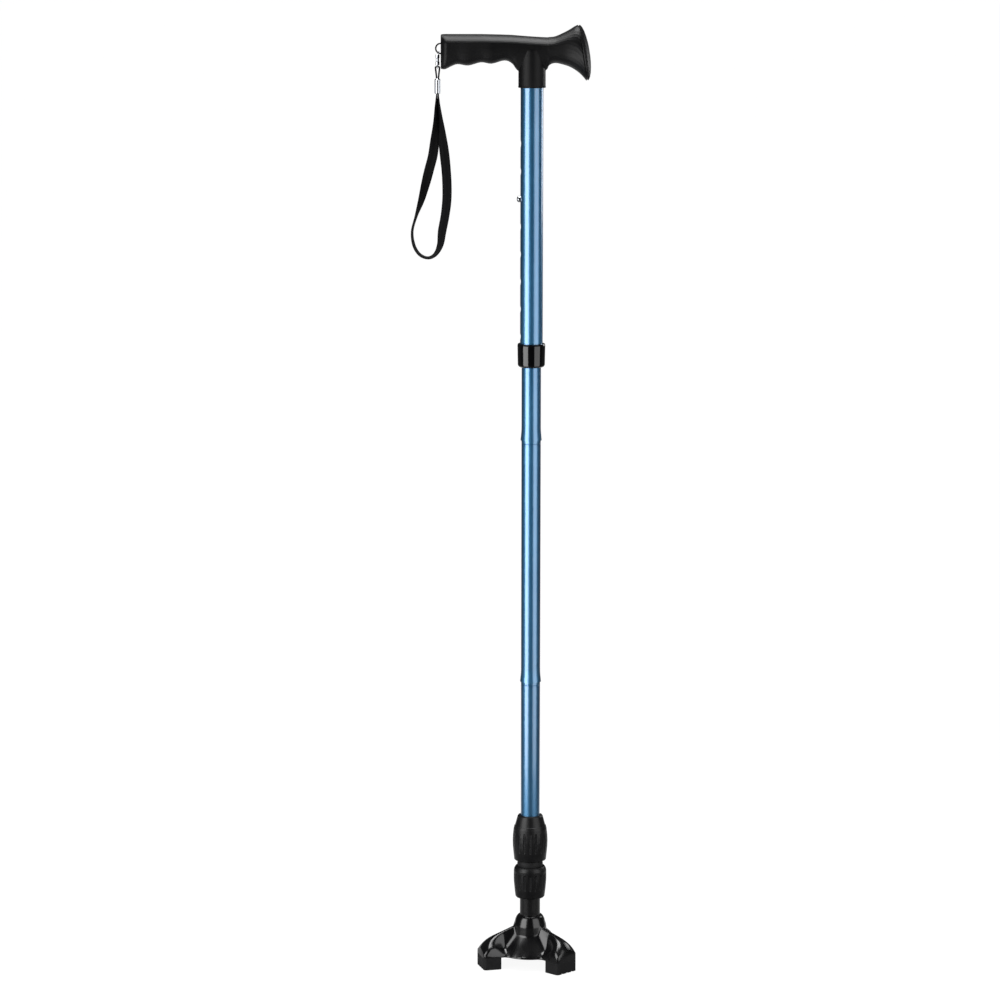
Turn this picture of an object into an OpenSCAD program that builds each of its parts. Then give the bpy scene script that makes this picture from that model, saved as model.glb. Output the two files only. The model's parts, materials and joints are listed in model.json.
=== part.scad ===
// Folding walking cane on a self-standing tripod foot, millimetres, +Z up.
// The origin is on the floor, under the axis of the tubes. The nose of the handle points to -X.

/* [Overall heights] */
// Height of the rubber pads under the feet
pad_h = 12; // [8:0.5:20]
// Height of the tripod hub above the pads
hub_h = 39; // [36:0.5:50]
// Length of neck tube that shows between hub and lower sleeve
neck_show = 18.5; // [8:0.5:40]
// Height of the lower ribbed sleeve
lower_sleeve_h = 32; // [31:0.5:40]
// Height of the upper ribbed sleeve
upper_sleeve_h = 45.7; // [40:0.1:60]
// Length of lower tube that shows above the upper sleeve
lower_show = 136.1; // [110:0.1:200]
// Length of the middle section from joint to joint
middle_len = 242.2; // [220:0.1:270]
// Length of inner tube that shows below the collar
inner_show = 72.4; // [70:0.1:100]
// Length of upper tube that shows between collar and handle
upper_show = 250.4; // [246:0.1:300]

/* [Tubes] */
// Outer diameter of the upper tube
upper_d = 22.2; // [21.6:0.1:23]
// Wall of the upper tube
upper_wall = 1.25; // [0.9:0.05:1.3]
// Outer diameter of the folding tubes
fold_d = 19.05; // [18.4:0.05:19.1]
// Wall of the folding tubes
fold_wall = 1.3; // [1:0.05:1.6]
// Outer diameter of the neck tube
neck_d = 20.2; // [19:0.1:21]
// Wall of the neck tube
neck_wall = 1.2; // [0.8:0.1:1.6]

/* [Fold joints] */
// Swell of the flared mouth beyond the tube's own radius
mouth_swell = 0.95; // [0.8:0.05:1.2]
// Length over which the mouth flares
mouth_len = 12; // [8:0.5:16]
// Length of plug that stands in the mouth above it
plug_len = 16; // [12:0.5:17]
// Height of the plug's shoulder ring under the mouth
plug_ring_h = 5; // [3:0.1:8]
// Length of plug held inside its own tube
plug_root = 22; // [15:1:30]
// Radius of the plug's tip
plug_tip_r = 6; // [5:0.1:6.2]
// Radial play of the plug in the tube above
plug_play = 0.35; // [0.3:0.05:0.6]
// Diameter of the elastic cord
cord_d = 4; // [3:0.1:4.6]
// Play of the cord in the plug's bore
cord_play = 0.6; // [0.4:0.1:0.9]

/* [Height setting] */
// Distance from one height hole to the next
hole_pitch = 27; // [24:0.5:28]
// Number of height holes
hole_count = 8; // [7:1:8]
// Which hole holds the button, counted from the top
button_hole = 3; // [3:1:4]
// Distance from the handle's foot down to the first hole
first_hole = 54.5; // [45:0.5:58]
// Diameter of a height hole
hole_d = 7.1; // [6.8:0.1:7.6]
// Diameter of the snap button
button_d = 6.4; // [5.8:0.1:6.4]
// How far the button stands out of the upper tube
button_out = 3.5; // [2.5:0.1:4]
// Length of inner tube above the button
inner_above = 24; // [18:1:40]

/* [Collar] */
// Height of the collar
collar_h = 23.3; // [18:0.1:30]
// Outer diameter of the collar
collar_d = 27.4; // [26:0.1:30]
// Height of the ledge that guides the inner tube
collar_ledge = 5; // [3:0.1:8]

/* [Handle] */
// Height of the palm line above the foot of the stem
palm_h = 51.8; // [48:0.1:56]
// Reach of the nose from the tube's axis
nose_reach = 88.7; // [84:0.1:96]
// Height of the nose face
nose_h = 34.4; // [32:0.1:38]
// Distance from one finger groove to the next
finger_pitch = 22.7; // [21:0.1:24]
// Distance from the axis to the groove next to the stem
finger_first = 26.9; // [26:0.1:29]
// Depth of a finger groove
finger_depth = 2.2; // [1:0.1:3]
// Thickness of the bar over the groove next to the stem
bar_t = 25.6; // [24:0.1:28]
// Half the width of the bar
bar_half_w = 14; // [13.6:0.1:16]
// Distance from the axis to the top of the palm rest's rim
rim_reach = 44.3; // [42:0.1:50]
// Rise of the rim's top above the palm line
rim_rise = 9.1; // [5:0.1:12]
// Lean of the rim, from its top to its foot
rim_lean = 8.7; // [5:0.1:11]
// Drop of the rim's foot below the palm line
rim_drop = 45.2; // [40:0.1:47]
// Half the width of the palm rest at its rim
rim_half_w = 19.5; // [17:0.1:24]
// Bulge of the domed end beyond the rim
dome_bulge = 7.4; // [4:0.1:9]
// Outer diameter of the stem
stem_d = 26.6; // [25.4:0.1:27]
// Length of the stem below the bar
stem_h = 16; // [12:0.1:18]
// Depth of tube held in the handle
handle_socket = 36; // [25:0.5:39]

/* [Pivot] */
// Radius of the ball that shows at the waist
ball_r = 12.85; // [12.6:0.05:12.9]
// Height of the ball's centre above the lower sleeve
ball_over_lip = 1.5; // [1.5:0.1:2.5]
// Height of the upper sleeve's foot above the ball's centre
waist_half = 4.8; // [4.6:0.1:6]
// Thickness of the rubber liner under the ball
liner_t = 0.6; // [0.5:0.05:0.7]
// Thickness of the seat's shell
seat_t = 1.2; // [1:0.1:1.4]
// Diameter of the pivot stud
stud_d = 5; // [4:0.1:5.4]
// Outer radius of the lower sleeve at its widest
lower_sleeve_r = 16.3; // [16:0.1:18]
// Outer radius of the upper sleeve at its widest
upper_sleeve_r = 17.4; // [16.8:0.1:19]
// Number of grip flutes round each sleeve
flute_count = 18; // [12:1:20]
// Depth of a flute
flute_depth = 0.7; // [0.4:0.05:0.9]
// Radius of a flute's cutter
flute_r = 1.7; // [1.2:0.1:2]

/* [Tripod] */
// Direction of the leg nearest the viewer, degrees from +X
leg_turn = -44; // [-60:1:-30]
// Distance from the axis to the end of a leg
leg_reach = 51.5; // [48:0.5:65]
// Width of a leg
leg_w = 28; // [24:0.5:32]
// Length of a rubber pad along its leg
pad_len = 18.5; // [15:0.5:19.5]
// Corner radius of a leg and its pad
leg_corner = 3; // [1.5:0.1:4]
// Radius of the skirt between the legs
skirt_r = 31; // [30:0.5:32]
// Radius of the hub at its top
hub_r = 14.4; // [13.5:0.1:16]
// Wall of the hub and skirt
base_wall = 3; // [2.5:0.1:3.5]
// Height of a leg's end above the pads, before its edge is rounded
leg_end_h = 18.5; // [16:0.5:20]
// Half the width over which a leg rounds off at its end
leg_round = 20; // [17:0.5:24]
// Depth of the grooves in a pad's sole
tread_depth = 1.4; // [0.6:0.1:2]

/* [Wrist strap] */
// Radius of the eye on the nose
eye_r = 4.9; // [4.6:0.1:5.6]
// Diameter of the eye's wire
eye_wire = 1.5; // [1:0.1:1.6]
// Depth of the eye's legs in the nose
eye_root = 4; // [2:0.5:8]
// Distance from the top of the nose to the eye's centre
eye_drop = 14; // [12:0.5:16]
// Diameter of the link's barrel
link_d = 3.8; // [3:0.1:4]
// Length of the link's barrel
link_len = 10.6; // [8:0.1:12]
// Diameter of the wire of the link's rings
link_wire = 1; // [0.8:0.1:1.2]
// Half the width of the cord loop
loop_half = 2.5; // [2.2:0.1:2.6]
// Length of the cord loop
loop_len = 11.6; // [8:0.2:14]
// Diameter of the loop's cord
loop_d = 1; // [0.8:0.1:1.1]
// Diameter of the crimp
crimp_d = 5.8; // [4.6:0.1:6]
// Length of the crimp
crimp_len = 14.5; // [10:0.5:18]
// Width of the webbing
web_w = 9.4; // [8:0.1:10]
// Thickness of the webbing
web_t = 1.3; // [0.9:0.1:1.4]

/* [Hidden] */
$fn = 64;
// Gap left round pieces that are glued or pressed together
glue_gap = 0.05;
// Running clearance of faces that turn or slide on each other
run_gap = 0.05;
// Running clearance of the collar round the inner tube
slide_gap = 0.075;
// Clearance of faces that only pass each other
free_gap = 0.35;
// Play left between a mouth and the shoulder that it seats on
seat_gap = 0.15;

// Radii of the tubes
upper_r = upper_d / 2;
upper_in = upper_r - upper_wall;
fold_r = fold_d / 2;
fold_in = fold_r - fold_wall;
neck_r = neck_d / 2;
neck_in = neck_r - neck_wall;
cord_r = cord_d / 2;

// Levels, from the floor up
hub_top = pad_h + hub_h;
lower_sleeve_z = hub_top + neck_show;
lower_lip_z = lower_sleeve_z + lower_sleeve_h;
ball_z = lower_lip_z + ball_over_lip;
upper_sleeve_z = ball_z + waist_half;
upper_sleeve_top = upper_sleeve_z + upper_sleeve_h;
low_joint = upper_sleeve_top + lower_show;
high_joint = low_joint + middle_len;
collar_z = high_joint + inner_show;
collar_top = collar_z + collar_h;
stem_z = collar_top + upper_show;
palm_z = stem_z + palm_h;
hole_top = stem_z - first_hole;
button_z = hole_top - (button_hole - 1) * hole_pitch;
inner_top = button_z + inner_above;

// Ball pivot: liner, seat, stud
liner_in = ball_r + run_gap;
liner_out = liner_in + liner_t;
seat_in = liner_out + run_gap;
seat_out = seat_in + seat_t;
seat_wall_r = 14.3;
seat_top = lower_lip_z - 1;
stud_r = stud_d / 2;
washer_in = seat_out + run_gap;
washer_t = 1.2;
washer_r = 8.2;
seat_hole_r = stud_r + 4;
liner_hole_r = stud_r + 3;
nut_h = 3.4;
nut_top = ball_z - washer_in - washer_t - 0.1;
stud_low = nut_top - nut_h - 0.4;
tube_stop = stud_low - 0.4;
seat_foot = tube_stop - 8;
ball_flat_top = 9;
flange_z = ball_z + ball_flat_top + free_gap;
flange_h = 3;
lower_tube_z = flange_z + flange_h;
stud_plug_len = 24;

// Elastic cord: its ends, and the two lengths that bend when the cane folds
cord_end_depth = 92;
anchor_h = 10;
upper_anchor_over_joint = 110;
low_bend_len = 20;
high_bend_len = 22;
cord_low = low_joint - cord_end_depth;
low_bend_z = low_joint + plug_len;
low_bend_top = low_bend_z + low_bend_len;
high_bend_top = high_joint + plug_len;
high_bend_z = high_bend_top - high_bend_len;
cord_high = high_joint + upper_anchor_over_joint + anchor_h;

// Snap button and its leaf
button_r = button_d / 2;
flange_r = button_r + 1.1;
button_flange_t = 0.8;
button_back = -sqrt(pow(fold_in, 2) - pow(flange_r, 2)) + free_gap;
leaf_t = 0.5;
leaf_half_w = 3;

// Handle
stem_r = stem_d / 2;
rim_foot = rim_reach + rim_lean;
arch_x = stem_r + 9.3;
ring_points = 36;
ring_steps = 4;
crease_drop = 8.5;
rim_groove = 0.9;

// Strap hardware: the link hangs a set way in front of the nose, clear of the eye's wire
eye_z = palm_z - eye_drop;
eye_x = -nose_reach;
link_out = 3.15;
link_edge = 0.5;
hook_r = eye_wire / 2 + link_wire / 2 + free_gap;
hook_turn = acos(link_out / (eye_r + hook_r));
hook_x = eye_x - eye_r * cos(hook_turn);
hook_z = eye_z - eye_r * sin(hook_turn);
link_x = eye_x - link_out;
eye_clear_r = eye_r + eye_wire / 2 + free_gap;
link_top = eye_z - sqrt(pow(eye_clear_r, 2) - pow(link_out - link_d / 2 + link_edge, 2));
tail_r = loop_d / 2 + link_wire / 2 + free_gap;
tail_z = link_top - link_len - tail_r;
crimp_top = tail_z - loop_len;
crimp_low = crimp_top - crimp_len;

// Tripod
hub_flank_r = hub_r + 2.6;
hub_flank_drop = 11;
skirt_edge_h = 3.2;
socket_floor = pad_h + 12;
bolt_r = 3;
bolt_head_r = 5.2;
bolt_head_h = 3.6;
boss_drop = 6;

// Route of the webbing: offset from the link, drop below the crimp, turn of the band in degrees
web_route = [
    [-0.9, 0, 0], [-1.3, 12, 18], [-1.4, 29.5, 34], [-2.4, 44, 58], [-4.4, 58.7, 82],
    [-8.1, 73.3, 84], [-11.8, 88, 60], [-15.7, 102.6, 38], [-20.4, 117.3, 14], [-23.6, 132, 8],
    [-21.9, 145, 10], [-16.6, 154, 8], [-9.1, 157.5, 6], [-2.2, 154, 18], [2.7, 145, 36],
    [4.9, 132, 56], [7.8, 117.3, 62], [9.6, 102.6, 70], [9.7, 88, 74], [8.9, 73.3, 74],
    [7.4, 58.7, 78], [5.6, 44, 58], [4.1, 29.5, 34], [1.7, 12, 18], [0.9, 0, 0]
];
web_steps = 3;

// Colours as the photograph shows them
blue = "#2f6ea8";
black = "#1b1b1d";
grey = "#2b2b2c";
steel = "#c9ccd0";

function mix(a, b, t) = a + (b - a) * t;

// A smooth curve through rows of numbers, as Catmull and Rom give it, with some steps between two rows
function curve_at(p, i, t) =
    let (
        a = p[max(i - 1, 0)],
        b = p[i],
        c = p[min(i + 1, len(p) - 1)],
        d = p[min(i + 2, len(p) - 1)]
    )
    0.5 * (2 * b + (c - a) * t + (2 * a - 5 * b + 4 * c - d) * t * t + (3 * b - a - 3 * c + d) * t * t * t);

function curve(p, steps) = [
    for (i = [0 : len(p) - 2]) for (j = [0 : steps - 1]) curve_at(p, i, j / steps),
    p[len(p) - 1]
];

function centre(ring) = [for (k = [0 : 2]) [for (p = ring) p[k]] * [for (p = ring) 1] / len(ring)];

// A closed skin over rings of points that run anticlockwise about the way from the first ring to the last
module loft(rings) {
    n = len(rings[0]);
    last = len(rings) - 1;
    points = [for (ring = rings) each ring, centre(rings[0]), centre(rings[last])];
    foot = n * (last + 1);
    head = foot + 1;
    sides = [
        for (i = [0 : last - 1]) for (j = [0 : n - 1])
            let (a = i * n + j, b = i * n + (j + 1) % n, c = b + n, d = a + n)
            each [[a, d, c], [a, c, b]]
    ];
    feet = [for (j = [0 : n - 1]) [foot, j, (j + 1) % n]];
    heads = [for (j = [0 : n - 1]) [head, last * n + (j + 1) % n, last * n + j]];
    polyhedron(points = points, faces = concat(sides, feet, heads));
}

// A pipe about the Z axis
module pipe(outer, inner, low, high) {
    difference() {
        translate([0, 0, low]) cylinder(r = outer, h = high - low);
        translate([0, 0, low - 1]) cylinder(r = inner, h = high - low + 2);
    }
}

// A wire ring about the Z axis
module wire_ring(ring_r, wire_r, turn = 360) {
    rotate_extrude(angle = turn) translate([ring_r, 0]) circle(r = wire_r, $fn = 24);
}

// A tube of the folding part whose lower end flares into a mouth
module mouth_tube(low, high) {
    steps = 6;
    swell = [for (i = [0 : steps]) [mouth_len * i / steps, mouth_swell * pow(1 - i / steps, 1.5)]];
    outside = [for (s = swell) [fold_r + s[1], low + s[0]]];
    inside = [for (i = [steps : -1 : 0]) [fold_in + swell[i][1], low + swell[i][0]]];
    rotate_extrude() polygon(concat(outside, [[fold_r, high], [fold_in, high]], inside));
}

// The plug of a fold joint: root in its own tube, shoulder ring with a fine groove, and a rounded nose
module joint_plug(joint) {
    steps = 8;
    plug_r = fold_in - plug_play;
    straight = plug_len / 2;
    groove = 0.3;
    bore = cord_r + cord_play;
    nose = [
        for (i = [0 : steps])
            let (t = i / steps)
            [mix(plug_r, plug_tip_r, 1 - cos(90 * t)), joint + straight + (plug_len - straight) * sin(90 * t)]
    ];
    ring_low = joint - plug_ring_h;
    ring_mid = joint - plug_ring_h * 0.62;
    rotate_extrude() polygon(concat(
        [
            [bore, ring_low - plug_root], [fold_in - glue_gap, ring_low - plug_root],
            [fold_in - glue_gap, ring_low], [fold_r, ring_low],
            [fold_r, ring_mid - groove], [fold_r - groove, ring_mid], [fold_r, ring_mid + groove],
            [fold_r, joint - seat_gap], [plug_r, joint - seat_gap]
        ],
        nose,
        [[bore + 1.2, joint + plug_len], [bore, joint + plug_len - 1.2]]
    ));
}

// Flutes round a sleeve: long round-ended cutters that reach a set depth into the wall
module flutes(wall_r, low, high) {
    for (i = [0 : flute_count - 1])
        rotate([0, 0, 360 / flute_count * (i + 0.5)])
            translate([wall_r + flute_r - flute_depth, 0, 0]) {
                translate([0, 0, low]) cylinder(r = flute_r, h = high - low, $fn = 24);
                translate([0, 0, low]) sphere(r = flute_r, $fn = 24);
                translate([0, 0, high]) sphere(r = flute_r, $fn = 24);
            }
}

// Tripod

// One leg's share of the outline: along the leg, across it, and how far the edge rounds down there
function leg_outline() =
    let (
        half = leg_w / 2,
        inner = leg_reach - pad_len,
        bend = leg_reach - leg_corner,
        skirt = [for (a = [60, 54, 48, 42, 36, 31]) [skirt_r * cos(a), skirt_r * sin(a), 1.2]],
        side = [for (t = [0.1, 0.3, 0.5, 0.7, 0.9]) [mix(inner, bend, t), half, mix(7.5, 6.5, t)]],
        arc = [
            for (a = [0, 30, 60, 90])
                [bend + leg_corner * sin(a), half - leg_corner + leg_corner * cos(a), 6]
        ],
        face = [for (v = [0.6, 0.3]) [leg_reach, v * half, mix(4.5, 6, v)]],
        right = concat(skirt, side, arc, face),
        last = len(right) - 1
    )
    concat(
        [for (p = right) [p[0], -p[1], p[2]]],
        [[leg_reach, 0, 4.5]],
        [for (i = [last : -1 : 1]) right[i]]
    );

// Height of the skin at a distance from the axis, over the middle of a leg and in the hollow between two
function ridge_z(r) =
    let (foot = pad_h + leg_end_h, s = (r - hub_flank_r) / (leg_reach - hub_flank_r))
    foot + (hub_top - hub_flank_drop - foot) * pow(max(0, 1 - s), 1.15);

function hollow_z(r) =
    let (foot = pad_h + skirt_edge_h, s = (r - hub_flank_r) / (skirt_r - hub_flank_r))
    foot + (hub_top - hub_flank_drop - foot) * pow(max(0, 1 - s), 1.7);

// A leg falls away to each side in a round swell, which widens towards its end
function skin_z(r, across) =
    let (spread = leg_round * pow(r / leg_reach, 1.25))
    mix(hollow_z(r), ridge_z(r), 1 / (1 + pow(abs(across) / spread, 3)));

function turned(p, a) = [p[0] * cos(a) - p[1] * sin(a), p[0] * sin(a) + p[1] * cos(a)];

// The outer skin: rings that shrink from the outline to the hub, rounded down at the outline's edge
function base_rings() =
    let (
        legs = [for (k = [0 : 2]) for (p = leg_outline()) [turned(p, leg_turn + 120 * k), p]],
        shares = [1, 0.985, 0.955, 0.91, 0.85, 0.77, 0.68, 0.58, 0.48, 0.38, 0.28, 0.18, 0.08, 0]
    )
    concat(
        [[for (l = legs) [l[0][0], l[0][1], pad_h]]],
        [
            for (s = shares) [
                for (l = legs)
                    let (
                        far = norm(l[0]),
                        way = l[0] / far,
                        r = mix(hub_flank_r, far, s),
                        z = skin_z(r, r * l[1][1] / far) - l[1][2] * pow(s, 8)
                    )
                    [way[0] * r, way[1] * r, z]
            ]
        ],
        [
            for (h = [[1.7, 9.3], [0.9, 7.2], [0.1, 4], [-0.8, 2.2], [-1.7, 0.8], [-2.7, 0]]) [
                for (l = legs)
                    let (way = l[0] / norm(l[0]), r = hub_r + h[0])
                    [way[0] * r, way[1] * r, hub_top - h[1]]
            ]
        ]
    );

module tripod_base() {
    roof = hub_top - hub_flank_drop - base_wall;
    boss_r = hub_r - 0.6;
    boss_z = socket_floor - boss_drop;
    color(black) difference() {
        loft(base_rings());
        rotate_extrude() polygon([
            [0, pad_h - 1], [skirt_r - base_wall, pad_h - 1], [skirt_r - base_wall, pad_h + 0.8],
            [mix(skirt_r, boss_r, 0.4) - base_wall / 2, mix(pad_h, roof, 0.36)],
            [mix(skirt_r, boss_r, 0.75) - base_wall / 4, mix(pad_h, roof, 0.68)],
            [boss_r, mix(pad_h, roof, 0.8)], [boss_r, boss_z], [0, boss_z]
        ]);
        translate([0, 0, socket_floor]) cylinder(r = neck_r + glue_gap, h = hub_top);
        translate([0, 0, boss_z - 1]) cylinder(r = bolt_r + glue_gap, h = boss_drop + 2);
        translate([0, 0, boss_z - 1]) cylinder(r = bolt_head_r + glue_gap, h = 1 + bolt_head_h / 2);
    }
}

// A rubber pad: a block with round corners and treaded sole under the end of one leg
module foot_pad(turn) {
    half = leg_w / 2;
    inner = leg_reach - pad_len;
    slots = 3;
    color(grey) rotate([0, 0, turn]) difference() {
        union() {
            translate([inner + leg_corner, -half, 0]) cube([pad_len - 2 * leg_corner, leg_w, pad_h]);
            translate([inner, -half + leg_corner, 0]) cube([pad_len, leg_w - 2 * leg_corner, pad_h]);
            for (x = [inner + leg_corner, leg_reach - leg_corner])
                for (y = [-half + leg_corner, half - leg_corner])
                    translate([x, y, 0]) cylinder(r = leg_corner, h = pad_h);
        }
        for (i = [1 : slots])
            translate([inner - 1, leg_w * (i / (slots + 1) - 0.5) - 1, -1])
                cube([pad_len + 2, 2, tread_depth + 1]);
    }
}

module foot_pad_right() { foot_pad(leg_turn); }

module foot_pad_left() { foot_pad(leg_turn - 120); }

module foot_pad_rear() { foot_pad(leg_turn + 120); }

module neck_tube() {
    color(black) pipe(neck_r, neck_in, socket_floor + glue_gap, tube_stop);
}

// Threaded plug in the foot of the neck tube
module neck_plug() {
    color(steel) pipe(neck_in - glue_gap, bolt_r + glue_gap, socket_floor + glue_gap, socket_floor + 16);
}

// Bolt that draws the neck into the hub, from below
module hub_bolt() {
    head_z = socket_floor - boss_drop + bolt_head_h / 2 - 1;
    color(steel) {
        translate([0, 0, head_z - bolt_head_h]) difference() {
            cylinder(r = bolt_head_r, h = bolt_head_h);
            translate([0, 0, -1]) cylinder(r = 2.5, h = 3, $fn = 6);
        }
        translate([0, 0, head_z]) cylinder(r = bolt_r, h = socket_floor + 14 - head_z);
    }
}

// Pivot

// Hollow shell between two spheres round the ball's centre, open below and cut off above
module ball_shell(outer, inner, hole, top) {
    translate([0, 0, ball_z]) difference() {
        intersection() {
            sphere(r = outer);
            translate([0, 0, -outer]) cylinder(r = outer + 1, h = outer + top);
        }
        sphere(r = inner);
        translate([0, 0, -outer - 1]) cylinder(r = hole, h = outer);
    }
}

module ball_seat() {
    top = seat_top - ball_z;
    low = seat_foot - ball_z;
    color(grey) translate([0, 0, ball_z]) difference() {
        translate([0, 0, low]) cylinder(r = seat_wall_r, h = top - low);
        sphere(r = seat_in);
        translate([0, 0, -ball_z]) cylinder(r = seat_hole_r, h = ball_z);
        difference() {
            translate([0, 0, tube_stop - ball_z])
                cylinder(r = seat_wall_r - 1.1, h = seat_top - tube_stop);
            sphere(r = seat_out);
            translate([0, 0, -seat_in * 0.55]) cylinder(r = seat_wall_r + 1, h = seat_in);
        }
        translate([0, 0, low - 1]) cylinder(r = neck_r + glue_gap, h = tube_stop - seat_foot + 1);
    }
}

module pivot_lower_sleeve() {
    bore = seat_wall_r + glue_gap;
    foot = lower_sleeve_z;
    lip = lower_lip_z;
    r = lower_sleeve_r;
    color(grey) difference() {
        rotate_extrude() polygon([
            [neck_r + glue_gap, foot], [r - 2.6, foot], [r - 1.7, foot + 1.2], [r - 0.8, foot + 8.5],
            [r - 0.1, foot + 17], [r, foot + 21], [r, lip - 4.6], [r - 0.35, lip - 2.8],
            [r - 1, lip - 1.4], [r - 1.7, lip - 0.4],
            [r - 2.3, lip], [seat_wall_r - 0.25, lip], [seat_wall_r - 0.25, seat_top + glue_gap],
            [bore, seat_top + glue_gap], [bore, seat_foot - glue_gap],
            [neck_r + glue_gap, seat_foot - glue_gap]
        ]);
        flutes(r - 0.35, foot + 9.3, foot + 23.2);
    }
}

module socket_liner() {
    color(black) ball_shell(liner_out, liner_in, liner_hole_r, -ball_over_lip);
}

module pivot_ball() {
    color(grey) translate([0, 0, ball_z]) difference() {
        intersection() {
            sphere(r = ball_r);
            translate([0, 0, -ball_r * 0.95]) cylinder(r = ball_r + 1, h = ball_r * 0.95 + ball_flat_top);
        }
        translate([0, 0, -ball_r - 1]) cylinder(r = stud_r + run_gap, h = 2 * ball_r + 2);
    }
}

module pivot_stud() {
    color(steel) {
        translate([0, 0, stud_low]) cylinder(r = stud_r, h = lower_tube_z + stud_plug_len - 2 - stud_low);
        translate([0, 0, flange_z]) cylinder(r = fold_r - 0.1, h = flange_h);
    }
}

// Dished washer that slides on the underside of the seat and keeps the ball in it
module pivot_washer() {
    depth = sqrt(pow(washer_in + washer_t, 2) - pow(washer_r, 2));
    color(steel) translate([0, 0, ball_z]) difference() {
        intersection() {
            sphere(r = washer_in + washer_t);
            translate([0, 0, -washer_in - washer_t - 1]) cylinder(r = washer_r, h = washer_in);
        }
        sphere(r = washer_in);
        translate([0, 0, -ball_z]) cylinder(r = stud_r + glue_gap, h = ball_z);
        translate([0, 0, -depth + 2]) cylinder(r = washer_r + 1, h = washer_in);
    }
}

module stud_nut() {
    color(steel) translate([0, 0, nut_top - nut_h]) difference() {
        cylinder(r = stud_r + 1.9, h = nut_h, $fn = 6);
        translate([0, 0, -1]) cylinder(r = stud_r + glue_gap, h = nut_h + 2);
    }
}

module stud_plug() {
    low = lower_tube_z;
    color(steel) pipe(fold_in - glue_gap, stud_r + glue_gap, low + glue_gap, low + stud_plug_len);
}

module pivot_upper_sleeve() {
    foot = upper_sleeve_z;
    top = upper_sleeve_top;
    r = upper_sleeve_r;
    cup = ball_r + free_gap;
    bore = fold_r + glue_gap;
    color(grey) difference() {
        rotate_extrude() polygon([
            [bore, foot], [r - 2.1, foot], [r - 1.5, foot + 0.6], [r - 0.8, foot + 7.2], [r - 0.2, foot + 14],
            [r, foot + 19.5], [r - 0.2, foot + 25], [r - 0.9, foot + 32], [r - 1.6, foot + 34.8],
            [r - 2.2, foot + 35.1], [bore + 3, top - 1], [bore + 2.2, top], [bore, top]
        ]);
        translate([0, 0, ball_z]) sphere(r = cup);
        translate([0, 0, ball_z]) cylinder(r = bore, h = upper_sleeve_h);
        flutes(r - 0.25, foot + 9.5, foot + 28.5);
    }
}

// Folding tubes

module lower_tube() {
    color(blue) pipe(fold_r, fold_in, lower_tube_z + glue_gap, low_joint - plug_ring_h - glue_gap);
}

module lower_tube_plug() { color(blue) joint_plug(low_joint); }

module cord_anchor_lower() {
    color(black) pipe(fold_in - glue_gap, cord_r + run_gap, cord_low, cord_low + anchor_h);
}

// One straight length of the elastic cord
module cord_length(low, high) {
    color(black) translate([0, 0, low]) cylinder(r = cord_r, h = high - low);
}

module shock_cord_lower() { cord_length(cord_low, low_bend_z); }

module shock_cord_low_bend() { cord_length(low_bend_z, low_bend_top); }

module middle_tube() {
    color(blue) mouth_tube(low_joint, high_joint - plug_ring_h - glue_gap);
}

module middle_tube_plug() { color(blue) joint_plug(high_joint); }

module shock_cord_middle() { cord_length(low_bend_top, high_bend_z); }

module shock_cord_high_bend() { cord_length(high_bend_z, high_bend_top); }

module inner_tube() {
    color(blue) difference() {
        mouth_tube(high_joint, inner_top);
        translate([0, 0, button_z]) rotate([0, -90, 0]) cylinder(r = hole_d / 2, h = upper_r + 1);
    }
}

module cord_anchor_upper() {
    low = high_joint + upper_anchor_over_joint;
    color(black) pipe(fold_in - glue_gap, cord_r + glue_gap, low, low + anchor_h);
}

module shock_cord_upper() { cord_length(high_bend_top, cord_high); }

// Height setting

// Bent leaf behind the button: one arm on the button, the other on the far wall of the tube
module button_spring() {
    near = button_back + button_flange_t;
    far = sqrt(pow(fold_in, 2) - pow(leaf_half_w, 2)) - 0.1;
    mid = (near + far) / 2;
    bend = (far - near) / 2;
    low = button_z - 24;
    steps = 12;
    outer = [for (i = [0 : steps]) [mid - bend * cos(180 * i / steps), low - bend * sin(180 * i / steps)]];
    inner = [
        for (i = [steps : -1 : 0])
            [mid - (bend - leaf_t) * cos(180 * i / steps), low - (bend - leaf_t) * sin(180 * i / steps)]
    ];
    color(steel) rotate([90, 0, 0]) linear_extrude(2 * leaf_half_w, center = true) polygon(concat(
        [[near, button_z + 3.5]], outer, [[far, button_z + 3.5], [far - leaf_t, button_z + 3.5]], inner,
        [[near + leaf_t, button_z + 3.5]]
    ));
}

module snap_button() {
    tip = upper_r + button_out;
    dome = 2.2;
    steps = 6;
    back = -button_back - button_flange_t;
    color(steel) translate([0, 0, button_z]) rotate([0, -90, 0]) rotate_extrude() polygon(concat(
        [[0, back], [flange_r, back], [flange_r, -button_back], [button_r, -button_back]],
        [for (i = [0 : steps]) [button_r * cos(90 * i / steps), tip - dome + dome * sin(90 * i / steps)]]
    ));
}

module upper_tube() {
    color(blue) difference() {
        pipe(upper_r, upper_in, collar_z + collar_ledge + glue_gap, stem_z + handle_socket - glue_gap);
        for (i = [0 : hole_count - 1])
            translate([0, 0, hole_top - i * hole_pitch])
                rotate([0, -90, 0]) cylinder(r = hole_d / 2, h = upper_r + 1);
    }
}

module collar() {
    r = collar_d / 2;
    round_r = 3;
    steps = 5;
    corner = [
        for (i = [0 : steps])
            let (a = 90 * i / steps)
            [r - 0.35 - round_r + round_r * sin(a), collar_z + round_r - round_r * cos(a)]
    ];
    color(black) rotate_extrude() polygon(concat(
        [[fold_r + slide_gap, collar_z]], corner,
        [
            [r, collar_top - 1.6], [r - 0.5, collar_top], [upper_r + glue_gap, collar_top],
            [upper_r + glue_gap, collar_z + collar_ledge], [fold_r + slide_gap, collar_z + collar_ledge]
        ]
    ));
}

// Handle

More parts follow.
